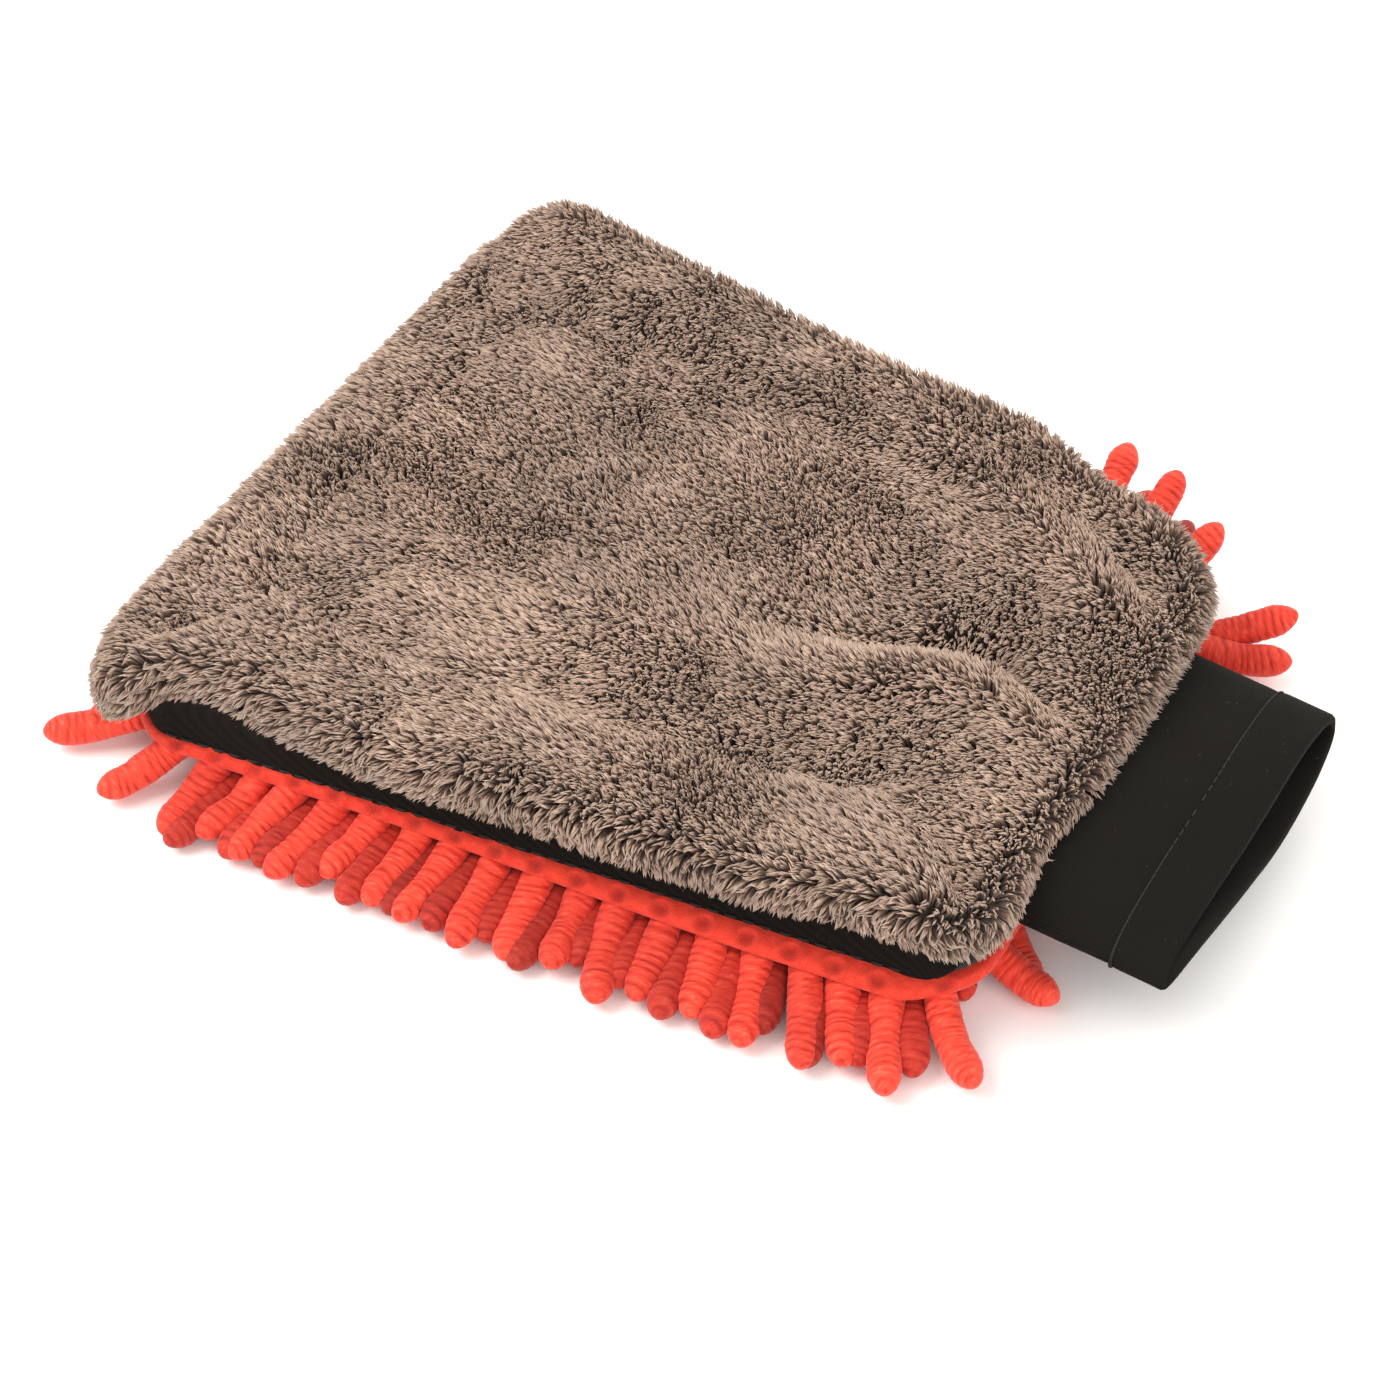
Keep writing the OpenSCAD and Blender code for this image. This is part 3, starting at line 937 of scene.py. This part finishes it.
def cuff_seam(name, turns, line, inset, **thread):
    """Stitches at the angles turns round the cuff, where line(a) is the seam's x at angle a."""
    places, runs = [], []
    for a in turns:
        x = np.array(line(a))
        low, here, high = (cuff_point(x, np.array(a + d), inset) for d in (-0.01, 0, 0.01))
        run = high - low
        places.append(here)
        runs.append((run, np.cross(run, (1, 0, 0)) * -1))
    return stitches(name, places, runs, **thread)


def wrist_seam():
    return cuff_seam("wrist_thread", np.arange(0.12, 2 * math.pi, 0.075),
                     lambda a: X_CUFF - 1.0, -0.1)


def hem_seam():
    return cuff_seam("cuff_hem_thread", np.arange(0.05, 2 * math.pi, 0.048),
                     lambda a: mouth_x(a) - HEM, 0.55, thick=0.3, length=2.3)


# ---- materials

def srgb(r, g, b):
    """Linear colour of an sRGB one given from 0 to 255."""
    def lin(v):
        v /= 255
        return v / 12.92 if v <= 0.04045 else ((v + 0.055) / 1.055) ** 2.4
    return (lin(r), lin(g), lin(b), 1.0)


class Nodes:
    """Short calls for building one material's node tree."""

    def __init__(self, name, rough=0.8, sheen=0.0, specular=0.3):
        self.material = bpy.data.materials.new(name)
        self.material.use_nodes = True
        self.tree = self.material.node_tree
        self.shader = self.tree.nodes["Principled BSDF"]
        self.shader.inputs["Roughness"].default_value = rough
        self.shader.inputs["Sheen Weight"].default_value = sheen
        self.shader.inputs["Sheen Roughness"].default_value = 0.45
        self.shader.inputs["Specular IOR Level"].default_value = specular

    def add(self, kind, **settings):
        node = self.tree.nodes.new(kind)
        for key, value in settings.items():
            setattr(node, key, value)
        return node

    def link(self, source, target):
        self.tree.links.new(source, target)

    def texture(self, kind, inputs, **settings):
        node = self.add(kind, **settings)
        for key, value in inputs.items():
            node.inputs[key].default_value = value
        place = self.add("ShaderNodeTexCoord").outputs["Object"]
        self.link(place, node.inputs["Vector"])
        return node.outputs["Fac"]

    def noise(self, scale, detail):
        return self.texture("ShaderNodeTexNoise",
                            {"Scale": scale, "Detail": detail, "Roughness": 0.55})

    def wave(self, scale, direction, distortion=0.0):
        return self.texture("ShaderNodeTexWave", {"Scale": scale, "Distortion": distortion,
                                                  "Detail Scale": 2.0}, bands_direction=direction)

    def fill(self, sockets, values):
        """Give each socket its plain value, or link what makes it."""
        for socket, value in zip(sockets, values):
            if isinstance(value, (int, float, tuple)):
                socket.default_value = value
            else:
                self.link(value, socket)

    def math(self, operation, a, b):
        node = self.add("ShaderNodeMath", operation=operation)
        self.fill(node.inputs, (a, b))
        return node.outputs[0]

    def ramp(self, factor, stops):
        node = self.add("ShaderNodeValToRGB")
        while len(node.color_ramp.elements) < len(stops):
            node.color_ramp.elements.new(0.5)
        for element, (place, colour) in zip(node.color_ramp.elements, stops):
            element.position = place
            element.color = colour
        self.link(factor, node.inputs["Fac"])
        return node.outputs["Color"]

    def blend(self, factor, a, b, kind="MIX"):
        node = self.add("ShaderNodeMix", data_type="RGBA", blend_type=kind)
        self.fill((node.inputs["Factor"], node.inputs[6], node.inputs[7]), (factor, a, b))
        return node.outputs[2]

    def bump(self, height, strength, distance):
        node = self.add("ShaderNodeBump")
        node.inputs["Strength"].default_value = strength
        node.inputs["Distance"].default_value = distance
        self.link(height, node.inputs["Height"])
        self.link(node.outputs["Normal"], self.shader.inputs["Normal"])

    def colour(self, source):
        self.link(source, self.shader.inputs["Base Color"])

    def tone(self):
        node = self.add("ShaderNodeVertexColor", layer_name="Tone")
        split = self.add("ShaderNodeSeparateColor")
        self.link(node.outputs["Color"], split.inputs["Color"])
        return split.outputs


def plush_material():
    """Microfibre pile: painted shade at the roots, painted highlight at the tips."""
    m = Nodes("plush_microfibre", rough=0.62, sheen=0.25, specular=0.35)
    tone = m.tone()
    # Both ramps: painted shade at the roots, painted highlight at the tips.
    dark = m.ramp(tone["Red"], [(0.0, srgb(58, 41, 30)), (0.55, srgb(116, 90, 75)),
                                (1.0, srgb(172, 144, 125))])
    pale = m.ramp(tone["Red"], [(0.0, srgb(72, 52, 40)), (0.55, srgb(154, 125, 107)),
                                (1.0, srgb(234, 208, 188))])
    strand = m.blend(tone["Green"], dark, pale)
    # Painted light and shade in soft patches.
    painted_light_patch = m.ramp(tone["Blue"], [(0.1, (0.80, 0.80, 0.80, 1)), (0.9, (1.08, 1.08, 1.08, 1))])
    m.colour(m.blend(1.0, strand, painted_light_patch, "MULTIPLY"))
    return m.material


def plush_cloth_material():
    """The knit that the pile stands on, seen only between tufts and along the rim."""
    m = Nodes("plush_knit_base", rough=0.9, specular=0.2)
    loops = m.math("MULTIPLY", m.wave(700, "X", 1.0), m.wave(620, "Y", 1.0))
    m.colour(m.blend(loops, srgb(58, 44, 35), srgb(112, 91, 78)))
    m.bump(loops, 0.5, 0.0003)
    return m.material


def chenille_material():
    """Chenille yarn: fuzzy crests, with painted shade in the furrows between them."""
    m = Nodes("chenille_yarn", rough=0.72, sheen=0.15, specular=0.3)
    tone = m.tone()
    # Red: painted shade in the furrows between the ribs.
    ribs = m.ramp(tone["Red"], [(0.0, srgb(158, 28, 18)), (0.45, srgb(208, 50, 33)),
                                (0.8, srgb(230, 70, 49)), (1.0, srgb(246, 96, 72))])
    # Green: painted shade, darkest on the noodles that lie under others.
    each = m.ramp(tone["Green"], [(0.0, (0.38, 0.26, 0.26, 1)), (0.35, (0.72, 0.62, 0.62, 1)),
                                  (1.0, (1.05, 1.08, 1.10, 1))])
    m.colour(m.blend(1.0, ribs, each, "MULTIPLY"))
    return m.material


def backing_material():
    """The knit base of the noodle panel."""
    m = Nodes("chenille_knit_base", rough=0.78, sheen=0.15, specular=0.3)
    fuzz = m.noise(520, 4)
    loops = m.math("MULTIPLY", m.wave(430, "X", 4.0), m.wave(430, "Y", 4.0))
    surface = m.math("ADD", m.math("MULTIPLY", fuzz, 0.8), m.math("MULTIPLY", loops, 0.2))
    flat = m.ramp(surface, [(0.2, srgb(200, 42, 27)), (0.75, srgb(232, 68, 45))])
    # Painted shade round each noodle root.
    painted_root_shade = m.ramp(m.tone()["Red"], [(0.0, (0.42, 0.30, 0.30, 1)), (1.0, (1, 1, 1, 1))])
    m.colour(m.blend(1.0, flat, painted_root_shade, "MULTIPLY"))
    m.bump(surface, 0.4, 0.0004)
    return m.material


def black_knit_material():
    """Fine matte double knit with ribs along its length and a little lint."""
    m = Nodes("black_knit", rough=0.9, sheen=0.02, specular=0.1)
    loop = 0.55 * MM
    pitch = math.pi * 2 / (20 * loop)
    ribs = m.wave(pitch, "Y", 0.8)
    rows = m.wave(pitch * 1.3, "X", 0.8)
    weave = m.math("ADD", m.math("MULTIPLY", ribs, 0.65), m.math("MULTIPLY", rows, 0.35))
    cloudy = m.noise(45, 3)
    base = m.blend(weave, srgb(9, 8, 6), srgb(25, 22, 18))
    base = m.blend(m.math("MULTIPLY", cloudy, 0.3), base, srgb(33, 29, 24))
    lint = m.ramp(m.noise(900, 1.5), [(0.74, (0, 0, 0, 1)), (0.79, (1, 1, 1, 1))])
    m.colour(m.blend(m.math("MULTIPLY", lint, 0.3), base, srgb(96, 88, 79)))
    m.bump(weave, 0.45, 0.00025)
    return m.material


def lining_material():
    """Plain woven lining."""
    m = Nodes("lining_weave", rough=0.8, specular=0.25)
    weave = m.math("MULTIPLY", m.wave(900, "X"), m.wave(900, "Y"))
    m.colour(m.blend(weave, srgb(58, 55, 53), srgb(98, 94, 91)))
    m.bump(weave, 0.4, 0.0002)
    return m.material


def elastic_material():
    """Ribbed elastic tape."""
    m = Nodes("elastic_tape", rough=0.7, specular=0.3)
    ribs = m.wave(800, "X")
    m.colour(m.blend(ribs, srgb(60, 58, 56), srgb(120, 117, 114)))
    m.bump(ribs, 0.6, 0.0003)
    return m.material


def thread_material():
    """Twisted sewing thread."""
    m = Nodes("sewing_thread", rough=0.6, specular=0.35)
    twist = m.wave(1400, "DIAGONAL", 0.5)
    m.colour(m.blend(twist, srgb(12, 11, 9), srgb(38, 34, 30)))
    m.bump(twist, 0.5, 0.0001)
    return m.material


def floor_material():
    """Seamless pale paper."""
    m = Nodes("pale_paper", rough=0.9, specular=0.1)
    m.colour(m.ramp(m.noise(6, 2), [(0.3, srgb(250, 250, 249)), (0.7, srgb(253, 253, 252))]))
    return m.material


# ---- floor, lights and camera

def aimed(data, place, target):
    """A lamp or camera at place, looking at target."""
    holder = bpy.data.objects.new(data.name, data)
    holder.location = place
    holder.rotation_euler = (Vector(target) - holder.location).to_track_quat("-Z", "Y").to_euler()
    bpy.context.scene.collection.objects.link(holder)
    return holder


def studio():
    scene = bpy.context.scene
    scene.view_settings.view_transform = "Standard"
    size = 3.0
    corners = [(-size, -size, 0), (size, -size, 0), (size, size, 0), (-size, size, 0)]
    floor = new_object(mesh_from("floor", corners, [(0, 1, 2, 3)], shade=False))
    floor.data.materials.append(floor_material())
    scene.world = bpy.data.worlds.new("studio")
    scene.world.use_nodes = True
    sky = scene.world.node_tree.nodes["Background"]
    sky.inputs["Color"].default_value = (1.0, 0.985, 0.965, 1)
    sky.inputs["Strength"].default_value = 1.0
    # Name, place, width and power
    lamps = [("key", (-0.55, -0.35, 0.85), 0.75, 9.0), ("fill", (0.75, -0.55, 0.60), 0.9, 4.0),
             ("back", (0.15, 0.85, 0.75), 0.8, 4.0)]
    for name, place, width, power in lamps:
        lamp = bpy.data.lights.new(name, "AREA")
        lamp.shape, lamp.size, lamp.energy = "DISK", width, power
        lamp.color = (1.0, 0.975, 0.95)
        aimed(lamp, place, (0, 0, 0.02))


def camera():
    azimuth, elevation, distance = math.radians(29.31), math.radians(45.53), 0.7216
    target = Vector((-0.0039, -0.01405, 0.00998))
    back = Vector((math.sin(azimuth) * math.cos(elevation),
                   -math.cos(azimuth) * math.cos(elevation), math.sin(elevation)))
    data = bpy.data.cameras.new("camera")
    data.sensor_width, data.lens = 36.0, 80.3
    bpy.context.scene.camera = aimed(data, target + back * distance, target)


# ---- the mitt, put together

def dress(piece, material, slot, body, *nodes):
    """Material and body of a piece, and the CAD nodes that it stands for, which it hides. The slot
    argument is not used. A piece without a body of its own has its place baked into its points."""
    piece.data.materials.append(material)
    if body is None:
        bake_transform(piece)
    else:
        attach(piece, body)
    if nodes:
        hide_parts(*nodes)
    return piece


def plush_parts():
    cloth = plush_base()
    hold = mix(1.0, 0.02, smooth(10, 34, seam_distance(cloth)))
    settle(cloth, hold, frames=16, cap=1.6 * MM, pressure=0.6)
    piles = pile(cloth)
    skin = plush_material()
    dress(cloth, plush_cloth_material(), "plush", MITT, "plush_panel")
    for piece in piles:
        dress(piece, skin, "plush", MITT)
    return cloth, piles


def noodle_parts():
    yarn = chenille_material()
    return [dress(noodle_row(node, i), yarn, "chenille", MITT, node)
            for i, node in enumerate(NOODLE_ROWS)]


def main():
    """Stage and every piece. Returns the main ones by name."""
    studio()
    camera()
    cloth, piles = plush_parts()
    noodles = noodle_parts()
    base = dress(backing(), backing_material(), "chenille", MITT, "chenille_backing")
    knit = black_knit_material()
    near = dress(gusset(-1, "gusset_near_knit"), knit, "black_knit", MITT, "gusset_near")
    far = dress(gusset(1, "gusset_far_knit"), knit, "black_knit", MITT, "gusset_far")
    woven, ripple = lining_material(), 0.25
    upper = dress(lining("plush_lining_cloth", Z_SEAM_TOP - 0.6, ripple, 61), woven, "lining",
                  MITT, "plush_lining")
    lower = dress(lining("chenille_lining_cloth", Z_SEAM_LOW + 0.9, ripple, 62), woven, "lining",
                  MITT, "chenille_lining")
    tube = dress(cuff(), knit, "black_knit", None, "cuff")
    band = dress(elastic_band(), elastic_material(), "elastic", CUFF, "cuff_elastic")
    hem = hem_seam()
    thread = thread_material()
    for piece, body, node in [
            (fingertip_seam(), MITT, "fingertip_stitching"),
            (side_seam("plush_edge_thread", True), MITT, "plush_edge_stitching"),
            (side_seam("backing_edge_thread", False), MITT, "backing_edge_stitching"),
            (wrist_seam(), MITT, "wrist_stitching"),
            (hem, CUFF, "cuff_hem_stitching")]:
        dress(piece, thread, "thread", body, node)
    return dict(cloth=cloth, piles=piles, noodles=noodles, base=base, near=near, far=far,
                upper=upper, lower=lower, tube=tube, band=band, hem=hem)


parts = main()
